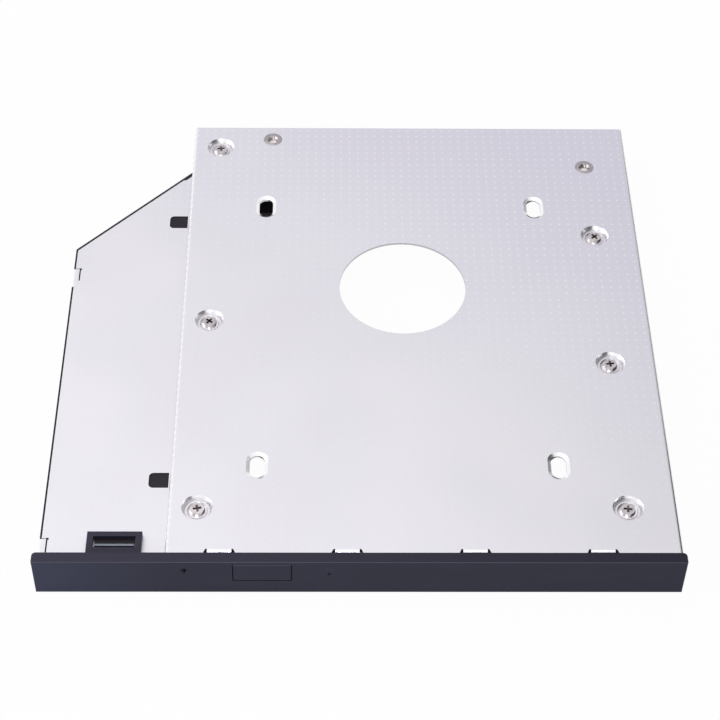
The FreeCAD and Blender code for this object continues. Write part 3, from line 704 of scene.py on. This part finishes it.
@dataclass(frozen=True)
class Moulding:
    """Moulded plastic with a fine spark-eroded grain, faint flow marks and scuffs."""

    name: str
    colour: Colour
    pale: Colour
    roughness: float
    grain: float
    grain_depth: float
    gloss: float = 0.5
    pale_share: float = 0.4
    flow_grain: float = 9 * MM
    flow_stretch: Triple = (0.5, 1, 2)
    flow_span: Span = (0.4, 0.7)
    flow_share: float = 0.5
    scuff_grain: float = 0.5 * MM
    scuff_stretch: Triple = (0.15, 1, 1)
    scuff_change: Span = (-0.05, 0.06)
    # Painted highlight: a pale bluish colour in a box, strongest at its foot, under a glossy coat
    painted_highlight: Colour = (0.70, 0.74, 0.90)
    painted_highlight_share: float = 0.1
    painted_highlight_roughness: float = 0.24
    painted_highlight_ior: float = 2.1

    def material(self, painted_highlight: tuple[Triple, Triple] | None = None) -> Material:
        """Builds the material.

        Args:
            painted_highlight: The corners of a box that gets a painted pale highlight under a glossy coat, or None.

        Returns:
            The material.
        """
        shader = Shader(self.name)
        shader.surface.inputs["Specular IOR Level"].default_value = self.gloss
        fine = shader.noise(self.grain, detail=3, roughness=0.6)
        flow = shader.noise(self.flow_grain, stretch=self.flow_stretch)
        share = shader.calc("MULTIPLY", shader.remap(flow, *self.flow_span, 0, self.flow_share),
                            shader.remap(fine, *NOISE_SPAN, self.pale_share, 1))
        colour = self.tint(shader, shader.blend(share, self.colour, self.pale))
        if painted_highlight:
            colour = self.paint_highlight(shader, colour, *painted_highlight)
        scuffs = shader.noise(self.scuff_grain, roughness=0.7, stretch=self.scuff_stretch)
        smoother, rougher = (self.roughness + change for change in self.scuff_change)
        shader.paint(colour, shader.remap(scuffs, *NOISE_SPAN, smoother, rougher))
        shader.relief(fine, self.grain_depth)
        return shader.material

    def tint(self, shader: Shader, colour: Socket) -> Socket:
        """Changes the colour where the plastic isn't even; here it is."""
        return colour

    def paint_highlight(self, shader: Shader, colour: Socket, low: Triple, high: Triple) -> Socket:
        """Paints a pale highlight in a box, strongest at the box's foot, and gives it a coat there.

        Args:
            shader: The material.
            colour: The colour of the rest.
            low: The box's lowest corner.
            high: The box's highest corner.

        Returns:
            The colour with the painted highlight.
        """
        highlight_box: Socket | float = 1
        for name, start, end in zip("XYZ", low, high):
            highlight_box = shader.calc("MULTIPLY", highlight_box, shader.between(shader.axis(name), start, end))
        shader.surface.inputs["Coat Roughness"].default_value = self.painted_highlight_roughness
        shader.surface.inputs["Coat IOR"].default_value = self.painted_highlight_ior
        shader.join(highlight_box, shader.surface.inputs["Coat Weight"])
        # Painted highlight, strongest at the box's foot
        foot = shader.remap(shader.axis("Z"), low[2], high[2], 1, self.painted_highlight_share)
        return shader.blend(shader.calc("MULTIPLY", highlight_box, foot), colour, self.painted_highlight)


@dataclass(frozen=True)
class PaintedLightMoulding(Moulding):
    """Moulded plastic with painted light: a lighter top, a highlight on its edges and a lighter left end."""

    # Painted light: level faces on top are painted lighter, most towards the left end
    top: tuple[Colour, Colour] = ((0.027, 0.025, 0.040), (0.045, 0.042, 0.063))
    painted_top_light_span: Span = (60 * MM, -60 * MM)
    painted_top_light_level: Span = (0.9, 0.97)
    # Painted highlight: the rounded edges between top and sides are painted paler
    edge: Colour = (0.10, 0.10, 0.13)
    painted_edge_highlight_level: Span = (0.1, 0.3)
    # Painted light: the front face is painted paler and bluer towards its left end
    painted_left_light: Colour = (0.045, 0.047, 0.082)
    painted_left_light_span: Span = (-66 * MM, -34 * MM)
    painted_left_light_front: float = -61 * MM

    def tint(self, shader: Shader, colour: Socket) -> Socket:
        """Adds the painted lighter left end, the painted lighter top and the painted edge highlight to the even
        colour.

        Args:
            shader: The material.
            colour: The even colour.

        Returns:
            The uneven colour.
        """
        across = shader.axis("X")
        # Painted light on the front face's left end
        front = shader.calc("LESS_THAN", shader.axis("Y"), self.painted_left_light_front)
        left = shader.remap(across, *self.painted_left_light_span, 1, 0, soft=True)
        colour = shader.blend(shader.calc("MULTIPLY", front, left), colour, self.painted_left_light)
        level = shader.levelness()
        # Painted light on the level top
        flat = shader.remap(level, *self.painted_top_light_level, 0, 1)
        # Painted highlight on the rounded edges
        edge = shader.calc("MULTIPLY", shader.remap(level, *self.painted_edge_highlight_level, 0, 1), shader.calc("SUBTRACT", 1, flat))
        top = shader.blend(shader.remap(across, *self.painted_top_light_span, 0, 1), *self.top)
        return shader.blend(edge, shader.blend(flat, colour, top), self.edge)


@dataclass(frozen=True)
class Plating:
    """Plated or rolled metal with slight tarnish and fine tool marks."""

    name: str
    colour: Colour
    tarnish: Colour
    roughness: float
    grain: float = 0.12 * MM
    grain_depth: float = 0.002 * MM
    stain_grain: float = 0.9 * MM
    stain_span: Span = (0.42, 0.68)
    mark_change: Span = (-0.06, 0.08)

    def material(self) -> Material:
        """Builds the material.

        Returns:
            The material.
        """
        shader = Shader(self.name)
        marks = shader.noise(self.grain, detail=3, roughness=0.6)
        stain = shader.remap(shader.noise(self.stain_grain, roughness=0.6), *self.stain_span, 0, 1)
        smoother, rougher = (self.roughness + change for change in self.mark_change)
        shader.paint(shader.blend(stain, self.colour, self.tarnish),
                     shader.remap(marks, *NOISE_SPAN, smoother, rougher), metallic=1)
        shader.relief(marks, self.grain_depth)
        return shader.material


@dataclass(frozen=True)
class BoardLaminate:
    """Glass laminate under solder mask: green on its faces, straw-coloured on its cut edges."""

    mask: Colour = (0.004, 0.075, 0.030)
    trace: Colour = (0.012, 0.17, 0.062)
    edge: Colour = (0.38, 0.33, 0.12)
    face_level: float = 0.8
    trace_pitch: float = 0.9 * MM
    trace_span: Span = (0.14 * MM, 0.21 * MM)
    trace_height: float = 0.03 * MM
    trace_jog: float = 2.6 * MM
    trace_slant: float = 0.5
    weave_grain: float = 0.3 * MM
    weave_share: float = 0.15
    weave_roughness: Span = (0.28, 0.42)

    def material(self) -> Material:
        """Builds the material.

        Returns:
            The material.
        """
        shader = Shader("board_laminate")
        jog = shader.calc("MULTIPLY", shader.calc("SNAP", shader.axis("Y"), self.trace_jog), self.trace_slant)
        lane = shader.calc("DIVIDE", shader.calc("ADD", shader.axis("X"), jog), self.trace_pitch)
        aside = shader.calc("ABSOLUTE", shader.calc("SUBTRACT", shader.calc("FRACT", lane), 0.5))
        near, far = (reach / self.trace_pitch for reach in self.trace_span)
        traces = shader.remap(aside, near, far, 1, 0, soft=True)
        face = shader.calc("GREATER_THAN", shader.levelness(), self.face_level)
        weave = shader.noise(self.weave_grain)
        shader.paint(shader.blend(face, self.edge, shader.blend(traces, self.mask, self.trace)),
                     shader.remap(weave, *NOISE_SPAN, *self.weave_roughness))
        shader.relief(shader.calc("ADD", shader.calc("MULTIPLY", traces, face),
                                  shader.calc("MULTIPLY", weave, self.weave_share)), self.trace_height)
        return shader.material


SHEET = DottedSheet()
FRAME_PLASTIC = Moulding("black_moulding", (0.018, 0.0145, 0.020), (0.030, 0.024, 0.033), 0.48, 0.11 * MM,
                         0.008 * MM, 0.16)
BEZEL_PLASTIC = PaintedLightMoulding("bezel_moulding", (0.030, 0.030, 0.050), (0.039, 0.039, 0.062), 0.36, 0.09 * MM,
                              0.005 * MM, 0.08)
CONNECTOR_PLASTIC = Moulding("connector_moulding", (0.012, 0.012, 0.012), (0.022, 0.022, 0.021), 0.38, 0.2 * MM,
                             0.004 * MM)
LAMINATE = BoardLaminate()
GOLD = Plating("gold_contact", (0.86, 0.62, 0.28), (0.74, 0.50, 0.22), 0.24, 0.05 * MM, 0.0006 * MM)
TIN = Plating("tinned_metal", (0.66, 0.66, 0.66), (0.50, 0.50, 0.51), 0.34)
SCREW_NICKEL = Plating("nickel_screw", (0.55, 0.52, 0.545), (0.40, 0.365, 0.375), 0.20, 0.10 * MM, 0.003 * MM)
# Painted shade: the cross recess is cut with a much darker, browner metal than the head
SCREW_RECESS_SHADE = Plating("screw_recess_shade", (0.19, 0.145, 0.135), (0.07, 0.050, 0.046), 0.42)
NUT_NICKEL = Plating("nickel_nut", (0.37, 0.345, 0.365), (0.31, 0.28, 0.30), 0.34, 0.08 * MM, 0.003 * MM)
# Painted highlight: the bore's wall and thread are a paler copy of the nut's nickel
NUT_WALL_HIGHLIGHT = Plating("nut_wall_highlight", (0.60, 0.55, 0.56), (0.34, 0.30, 0.31), 0.18, 0.08 * MM, 0.002 * MM)
# Painted light: the bore's floor is a much paler copy of the nut's nickel, lit though it lies deep in the bore
NUT_FLOOR_LIGHT = Plating("nut_floor_light", (0.80, 0.74, 0.74), (0.66, 0.60, 0.60), 0.3, 0.08 * MM, 0.002 * MM)
CAPACITOR = Moulding("capacitor_body", (0.30, 0.17, 0.085), (0.36, 0.22, 0.12), 0.45, 0.15 * MM, 0.003 * MM)
RESISTOR = Moulding("resistor_body", (0.012, 0.012, 0.013), (0.03, 0.03, 0.03), 0.5, 0.15 * MM, 0.003 * MM)


def dress(piece: Piece, material: Material) -> None:
    """Puts one material on every face of a piece.

    Args:
        piece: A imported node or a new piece.
        material: The material.
    """
    if not piece.material_slots:
        piece.data.materials.append(material)
    for slot in piece.material_slots:
        slot.material = material


def seat(piece: Piece, node: str) -> None:
    """Lets a new piece ride on the caddy and hides the solids that it stands for.

    Args:
        piece: The new piece, in its place.
        node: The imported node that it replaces.
    """
    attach(piece, BODY)
    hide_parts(node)
    LOG.info("%s: %d faces", piece.name, len(piece.data.polygons))


# Sub-assemblies


@dataclass
class MachineScrew:
    """A low-head screw with a tapered cross recess and a real thread."""

    head_radius: float = 2.1 * MM
    head_height: float = 0.8 * MM
    head_round: float = 0.68 * MM
    round_profile: float = 0.29
    round_segments: int = 6
    recess_span: float = 2.0 * MM
    recess_slot: float = 0.5 * MM
    recess_depth: float = 0.6 * MM
    recess_above: float = 0.25
    recess_taper: Triple = (0.4, 0.7, 1)
    thread_radius: float = 0.95 * MM
    thread_start: float = 0.6
    core_radius: float = 0.74 * MM
    foot_share: float = 0.98
    plain_turns: float = 2
    tip_taper: Triple = (0.75, 0.75, 1)
    pitch: float = 0.4 * MM
    length: float = 4.5 * MM
    sides: int = 48

    def model(self, name: str, finish: Material, shade: Material) -> Piece:
        """Models the screw with its head's underside at the origin and its head up.

        Args:
            name: The pattern's name.
            finish: The screw's material.
            shade: The material of the recess, darker for painted shade.

        Returns:
            The pattern, to be copied.
        """
        screw = cylinder(name, self.head_radius, 0, self.head_height, self.sides)
        dress(screw, finish)
        with editing(screw):
            select_level(screw, self.head_height, 1)
            bpy.ops.mesh.region_to_loop()
            bpy.ops.mesh.bevel(offset=self.head_round, segments=self.round_segments, profile=self.round_profile,
                               affect="EDGES")
            select_level(screw, 0, -1)
            bpy.ops.mesh.inset(thickness=self.head_radius - self.core_radius)
            tip = self.thread_radius - self.core_radius
            push(tip - self.length)
            push(-tip)
            bpy.ops.transform.resize(value=self.tip_taper, center_override=(0, 0, -self.length))
        recess = self.recess()
        dress(recess, shade)
        cut(screw, recess)
        ridge = helix(name + "_thread", self.core_radius * self.foot_share, self.thread_radius, self.pitch,
                      self.pitch * self.thread_start - self.length,
                      (self.length - self.plain_turns * self.pitch) / self.pitch)
        dress(ridge, finish)
        screw = join([screw, ridge], name)
        smooth(screw)
        return screw

    def recess(self) -> Piece:
        """Models the tapered cross that is cut out of the head.

        Returns:
            The cutter.
        """
        arms = []
        half = Vector((self.recess_span / 2, self.recess_slot / 2, 0))
        for turn in (0, 90):
            low = Vector((-half.x, -half.y, self.head_height - self.recess_depth))
            high = Vector((half.x, half.y, self.head_height + self.recess_depth * self.recess_above))
            arm = block("recess_arm", low, high)
            with editing(arm):
                select_level(arm, low.z, -1)
                bpy.ops.transform.resize(value=self.recess_taper, center_override=(0, 0, low.z))
            arm.rotation_euler.z = math.radians(turn)
            settle(arm)
            arms.append(arm)
        return join(arms, "recess")


@dataclass
class CoverScrews:
    """The six screws that hold the sheet to the frame, with the turn of each in degrees."""

    form: MachineScrew = field(default_factory=MachineScrew)
    turns: dict[str, float] = field(default_factory=lambda: {
        "left_rear": 8, "left_middle": 52, "left_front": 10, "right_rear": 38, "right_middle": 6, "right_front": -6})
    node: str = "plate_screw"
    name: str = "screw"
    head_up: bool = True

    def build(self, finish: Material, shade: Material) -> None:
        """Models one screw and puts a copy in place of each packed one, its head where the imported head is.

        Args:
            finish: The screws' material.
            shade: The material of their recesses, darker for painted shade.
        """
        pattern = self.form.model(self.name + "_pattern", finish, shade)
        if not self.head_up:
            pattern.rotation_euler.x = math.pi
            settle(pattern)
        for place, turn in self.turns.items():
            node = f"{self.node}_{place}"
            low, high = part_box(node)
            height = high.z - self.form.head_height if self.head_up else low.z + self.form.head_height
            seat(placed_copy(pattern, f"{self.name}_{place}", on_axis(node, height), turn), node)
        bpy.data.objects.remove(pattern)


@dataclass
class BoardScrews(CoverScrews):
    """The two screws that hold the board up against the frame's shelves, head down."""

    form: MachineScrew = field(default_factory=lambda: MachineScrew(
        head_radius=1.6 * MM, head_height=0.6 * MM, head_round=0.3 * MM, recess_span=1.7 * MM,
        recess_depth=0.45 * MM, thread_radius=0.75 * MM, core_radius=0.58 * MM, pitch=0.35 * MM,
        length=2.0 * MM, sides=40))
    turns: dict[str, float] = field(default_factory=lambda: {"left": 25, "right": 62})
    node: str = "board_screw"
    name: str = "fixing"
    head_up: bool = False


@dataclass
class BracketNuts:
    """The two blind threaded inserts that the laptop's bracket screws to."""

    ring_radius: float = 2.175 * MM
    flange_height: float = 1.0 * MM
    mouth_radius: float = 1.24 * MM
    bore_radius: float = 0.98 * MM
    bore_depth: float = 0.7 * MM
    crest_radius: float = 0.92 * MM
    foot_share: float = 1.01
    thread_start: float = 0.1
    pitch: float = 0.25 * MM
    edge: float = 0.08 * MM
    sides: int = 56

    @property
    def sink(self) -> float:
        """The depth of the countersink, which slopes at 45 degrees."""
        return self.mouth_radius - self.bore_radius

    def build(self, finish: Material, wall: Material, floor: Material) -> None:
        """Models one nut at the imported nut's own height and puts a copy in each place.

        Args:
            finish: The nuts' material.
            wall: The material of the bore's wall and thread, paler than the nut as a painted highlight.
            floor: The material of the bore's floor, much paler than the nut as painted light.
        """
        low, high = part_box("bracket_nut_left")
        height = high.z - low.z
        pattern = self.model((high.x - low.x) / 2, height, finish)
        cut(pattern, self.bore(height, wall, floor))
        ridge = helix("insert_thread", self.bore_radius * self.foot_share, self.crest_radius, self.pitch,
                      height - self.bore_depth + self.pitch * self.thread_start,
                      (self.bore_depth - self.sink - self.pitch) / self.pitch)
        dress(ridge, wall)
        pattern = join([pattern, ridge], "insert")
        smooth(pattern)
        for side in ("left", "right"):
            node = "bracket_nut_" + side
            place = on_axis(node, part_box(node)[0].z)
            seat(placed_copy(pattern, "insert_" + side, place), node)
        bpy.data.objects.remove(pattern)

    def model(self, flange_radius: float, height: float, finish: Material) -> Piece:
        """Models the solid nut with its lower face at the origin.

        Args:
            flange_radius: The radius of the wider part below the sheet.
            height: The nut's whole height.
            finish: The nut's material.

        Returns:
            The nut before its bore is cut.
        """
        nut = cylinder("insert", flange_radius, 0, self.flange_height, self.sides)
        dress(nut, finish)
        with editing(nut):
            select_level(nut, self.flange_height, 1)
            bpy.ops.mesh.inset(thickness=flange_radius - self.ring_radius)
            push(height - self.flange_height)
            bpy.ops.mesh.region_to_loop()
            bpy.ops.mesh.bevel(offset=self.edge, segments=2, affect="EDGES")
        return nut

    def bore(self, height: float, wall: Material, floor: Material) -> Piece:
        """Models the countersunk blind bore that is cut out of a nut.

        Args:
            height: The nut's whole height.
            wall: The material that the bore's wall gets, paler than the nut as a painted highlight.
            floor: The material that its floor gets, much paler than the nut as painted light.

        Returns:
            The cutter.
        """
        base = height - self.bore_depth
        bore = cylinder("bore", self.bore_radius, base, height - self.sink, self.sides)
        dress(bore, wall)
        bore.data.materials.append(floor)
        bore.active_material_index = 1
        with editing(bore):
            select_level(bore, base, -1)
            bpy.ops.object.material_slot_assign()
            select_level(bore, height - self.sink, 1)
            push(self.sink)
            scale = self.mouth_radius / self.bore_radius
            bpy.ops.transform.resize(value=(scale, scale, 1), center_override=(0, 0, height))
            push(self.sink)
        return bore


@dataclass
class BoardChips:
    """The capacitors and resistors, each a small body between two tinned ends."""

    end_share: float = 0.2
    end_rise: float = 0.02 * MM
    round: float = 0.06 * MM

    def build(self, capacitor: Material, resistor: Material, tin: Material) -> None:
        """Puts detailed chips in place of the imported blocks.

        Args:
            capacitor: The capacitors' material.
            resistor: The resistors' material.
            tin: The material of the ends.
        """
        rows = (("board_capacitors", "capacitors", capacitor, Slot.CAPACITOR),
                ("board_resistors", "resistors", resistor, Slot.RESISTOR))
        for node, name, material, slot in rows:
            chips = []
            for low, high in self.blocks(node):
                chips += self.chip(low, high, material, tin)
            seat(join(chips, name), node)

    @staticmethod
    def blocks(node: str) -> list[tuple[Vector, Vector]]:
        """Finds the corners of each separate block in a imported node.

        Args:
            node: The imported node's name.

        Returns:
            The lowest and highest corner of each block.
        """
        mesh = bmesh.new()
        mesh.from_mesh(bpy.data.objects[node].data)
        bmesh.ops.remove_doubles(mesh, verts=mesh.verts, dist=CLOSE)
        waiting = set(mesh.verts)
        found = []
        while waiting:
            reached = [waiting.pop()]
            for vertex in reached:
                for edge in vertex.link_edges:
                    other = edge.other_vert(vertex)
                    if other in waiting:
                        waiting.remove(other)
                        reached.append(other)
            corners = [vertex.co.copy() for vertex in reached]
            low = Vector(min(corner[i] for corner in corners) for i in range(3))
            high = Vector(max(corner[i] for corner in corners) for i in range(3))
            found.append((low, high))
        mesh.free()
        return sorted(found, key=lambda corners: corners[0].x)

    def chip(self, low: Vector, high: Vector, body: Material, tin: Material) -> list[Piece]:
        """Models one chip between two corners.

        Args:
            low: The block's lowest corner.
            high: The block's highest corner.
            body: The body's material.
            tin: The ends' material.

        Returns:
            The chip's body and its two ends.
        """
        reach = (high.x - low.x) * self.end_share
        inset = Vector((reach / 2, self.end_rise, self.end_rise))
        spans = ((low + inset, high - inset, body),
                 (low, Vector((low.x + reach, high.y, high.z)), tin),
                 (Vector((high.x - reach, low.y, low.z)), high, tin))
        made = []
        for start, end, material in spans:
            part = block("chip", start, end)
            with editing(part):
                bpy.ops.mesh.select_all(action="SELECT")
                bpy.ops.mesh.bevel(offset=self.round, segments=2, affect="EDGES")
            smooth(part)
            dress(part, material)
            made.append(part)
        return made


@dataclass
class Caddy:
    """The whole caddy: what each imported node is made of, and the pieces that are modelled again."""

    frame: dict
    wing_drop: float = 4.0 * MM
    # The box on the catch's ramp that gets a painted highlight
    catch_low: Triple = (-53.3 * MM, -58.4 * MM, 6.56 * MM)
    catch_high: Triple = (-44.6 * MM, -57.3 * MM, 6.88 * MM)

    def build(self) -> None:
        """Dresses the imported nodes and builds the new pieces."""
        deck_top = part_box("bottom_plate")[1].z
        bezel, housing, gold, tin = (finish.material() for finish in (BEZEL_PLASTIC, CONNECTOR_PLASTIC, GOLD, TIN))
        finishes = {
            "bottom_plate": SHEET.material((deck_top, deck_top - self.wing_drop)),
            "tray_frame": FRAME_PLASTIC.material((self.catch_low, self.catch_high)),
            "front_bezel": bezel,
            "eject_button": bezel,
            "connector_board": LAMINATE.material(),
            "drive_receptacle": housing,
            "host_plug": housing,
            "drive_data_contacts": gold,
            "drive_power_contacts": gold,
            "host_data_contacts": gold,
            "host_power_contacts": gold,
            "drive_board_locks": tin,
            "host_board_locks": tin,
        }
        for node, material in finishes.items():
            dress(self.frame["nodes"][node], material)
            LOG.info("%s wears %s", node, material.name)
        screw = SCREW_NICKEL.material()
        recess = SCREW_RECESS_SHADE.material()
        for screws in (CoverScrews(), BoardScrews()):
            screws.build(screw, recess)
        BracketNuts().build(NUT_NICKEL.material(), NUT_WALL_HIGHLIGHT.material(), NUT_FLOOR_LIGHT.material())
        BoardChips().build(CAPACITOR.material(), RESISTOR.material(), tin)


# Studio


@dataclass
class Softbox:
    """A square area lamp that looks at the object."""

    name: str
    place: Vector
    side: float
    power: float
    colour: Colour = WHITE

    def build(self) -> None:
        """Adds the lamp."""
        lamp = bpy.data.lights.new(self.name, "AREA")
        lamp.size = self.side
        lamp.energy = self.power
        lamp.color = self.colour
        holder = bpy.data.objects.new(self.name, lamp)
        holder.location = self.place
        holder.rotation_euler = (-self.place).to_track_quat("-Z", "Y").to_euler()
        bpy.context.scene.collection.objects.link(holder)


@dataclass
class Card:
    """A grey card that stands beside the object, out of the camera's view, and darkens what faces right."""

    name: str
    near: float
    far: float
    height: float
    grey: float
    left: float = 0.160
    right: float = 0.162

    def build(self) -> None:
        """Adds the card."""
        card = block(self.name, Vector((self.left, self.near, 0)), Vector((self.right, self.far, self.height)))
        shader = Shader(self.name)
        shader.paint((self.grey,) * 3, 1)
        shader.surface.inputs["Specular IOR Level"].default_value = 0
        dress(card, shader.material)
        card.visible_camera = False


@dataclass
class Studio:
    """A pale floor, soft lamps, grey cards, a white surround and a camera at the photograph's angle."""

    camera_place: Vector = field(default_factory=lambda: Vector((-0.00572, -0.28825, 0.3178)))
    pitch: float = 47.96
    yaw: float = 1.26
    roll: float = -1.07
    lens: float = 96.65
    sensor: float = 36
    nearest: float = 0.01
    floor_side: float = 4.0
    floor_colour: Colour = (0.82, 0.82, 0.82)
    background_share: float = 0.97
    ambient_colour: Colour = (0.97, 0.98, 1)
    ambient: float = 0.6
    lights: tuple[Softbox | Card, ...] = field(default_factory=lambda: (
        Card("near_card", -0.34, 0.05, 0.17, 0.10),
        Card("far_card", 0.051, 0.19, 0.13, 0.42),
        Softbox("side", Vector((-0.70, -0.06, 0.26)), 0.64, 2.0),
        Softbox("top", Vector((-0.22, 0.15, 1.00)), 0.95, 2.6),
        Softbox("front", Vector((-0.09, -0.57, 0.42)), 0.20, 0.8, (0.88, 0.94, 1)),
    ))

    def build(self) -> None:
        """Sets up the view, the camera, the floor, the surround, the cards and the lamps."""
        bpy.context.scene.view_settings.view_transform = "Standard"
        self.build_camera()
        self.build_floor()
        self.build_world()
        for light in self.lights:
            light.build()

    def build_camera(self) -> None:
        """Adds the camera and makes it the scene's own."""
        data = bpy.data.cameras.new("camera")
        data.lens = self.lens
        data.sensor_width = self.sensor
        data.clip_start = self.nearest
        holder = bpy.data.objects.new("camera", data)
        pitch, yaw, roll = (math.radians(angle) for angle in (self.pitch, self.yaw, self.roll))
        ahead = Vector((math.sin(yaw) * math.cos(pitch), math.cos(yaw) * math.cos(pitch), -math.sin(pitch)))
        across = Vector((math.cos(yaw), -math.sin(yaw), 0))
        down = ahead.cross(across)
        right = across * math.cos(roll) + down * math.sin(roll)
        below = down * math.cos(roll) - across * math.sin(roll)
        turn = Matrix((right, -below, -ahead)).transposed().to_4x4()
        holder.matrix_world = Matrix.Translation(self.camera_place) @ turn
        bpy.context.scene.collection.objects.link(holder)
        bpy.context.scene.camera = holder

    def build_floor(self) -> None:
        """Adds the floor, which is white to the camera and keeps a faint shadow."""
        rest_selection()
        bpy.ops.mesh.primitive_plane_add(size=self.floor_side, location=(0, 0, 0))
        floor = finish_primitive("floor")
        material = bpy.data.materials.new("floor")
        nodes = Nodes(material)
        paint = nodes.add("ShaderNodeBsdfDiffuse")
        nodes.feed(paint.inputs["Color"], self.floor_colour)
        share = nodes.calc("MULTIPLY", nodes.seen_directly(), self.background_share)
        nodes.mix_to_output(share, paint, nodes.add("ShaderNodeEmission"), "ShaderNodeOutputMaterial")
        dress(floor, material)

    def build_world(self) -> None:
        """Adds a surround that is white to look at and gives a softer light."""
        world = bpy.data.worlds.new("surround")
        bpy.context.scene.world = world
        nodes = Nodes(world)
        seen = nodes.add("ShaderNodeBackground")
        nodes.feed(seen.inputs["Color"], WHITE)
        ambient = nodes.add("ShaderNodeBackground")
        nodes.feed(ambient.inputs["Color"], self.ambient_colour)
        nodes.feed(ambient.inputs["Strength"], self.ambient)
        nodes.mix_to_output(nodes.seen_directly(), ambient, seen, "ShaderNodeOutputWorld")


def main() -> None:
    """Loads the frame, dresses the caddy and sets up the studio."""
    logging.basicConfig(level=logging.INFO, format="%(name)s: %(message)s")
    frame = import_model()
    Caddy(frame).build()
    Studio().build()
    rest_selection()


if __name__ == "__main__":
    main()
